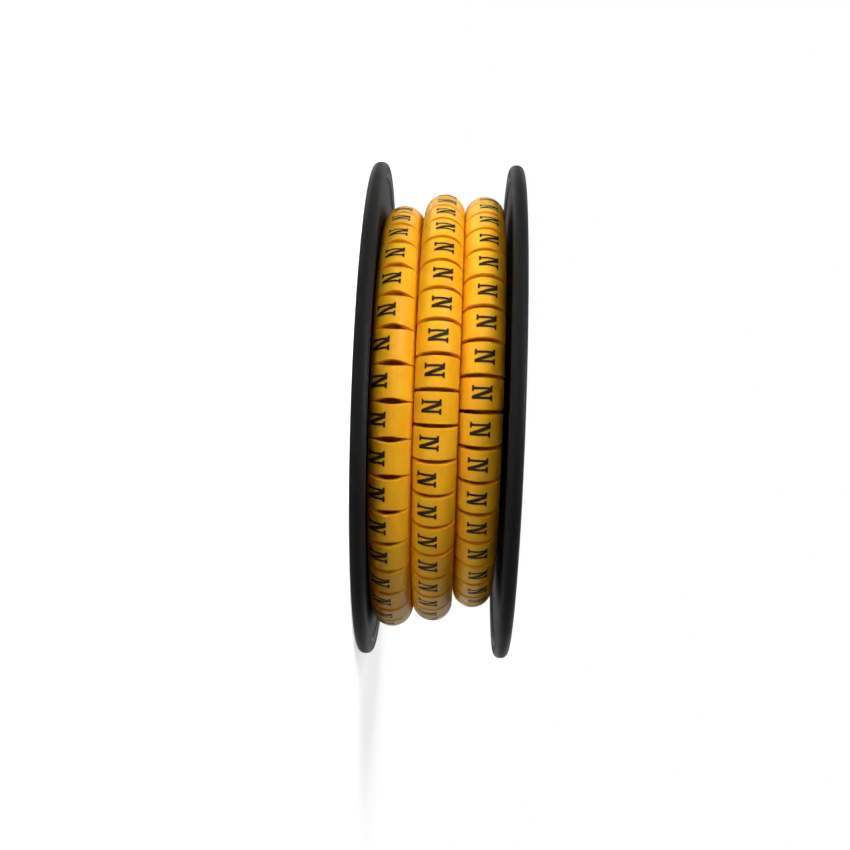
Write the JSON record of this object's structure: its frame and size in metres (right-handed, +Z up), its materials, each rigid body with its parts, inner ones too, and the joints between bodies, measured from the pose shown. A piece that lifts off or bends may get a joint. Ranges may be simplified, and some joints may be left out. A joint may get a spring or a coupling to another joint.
{
  "type": "reel of cable markers",
  "caption": "Two-piece moulded reel wound with a continuous strip of slit-tube cable marker sleeves, each printed with one character; sleeves are torn off and slid on to wires.",
  "frame": {"origin": "centre of the outer face of the lower flange, on the spindle axis, where the reel stands", "axes": "+Z up the spindle axis from the lower flange to the upper flange; -Y is the side that the picture shows"},
  "size_m": [0.08, 0.08, 0.0237],
  "materials": {
    "spool": "black moulded plastic, satin",
    "marker": "soft amber-yellow PVC, waxy gloss, printed in black"
  },
  "bodies": {
    "root": {"lower_spool_half": "spool", "upper_spool_half": "spool", "marker_strip": "marker"}
  },
  "joints": []
}
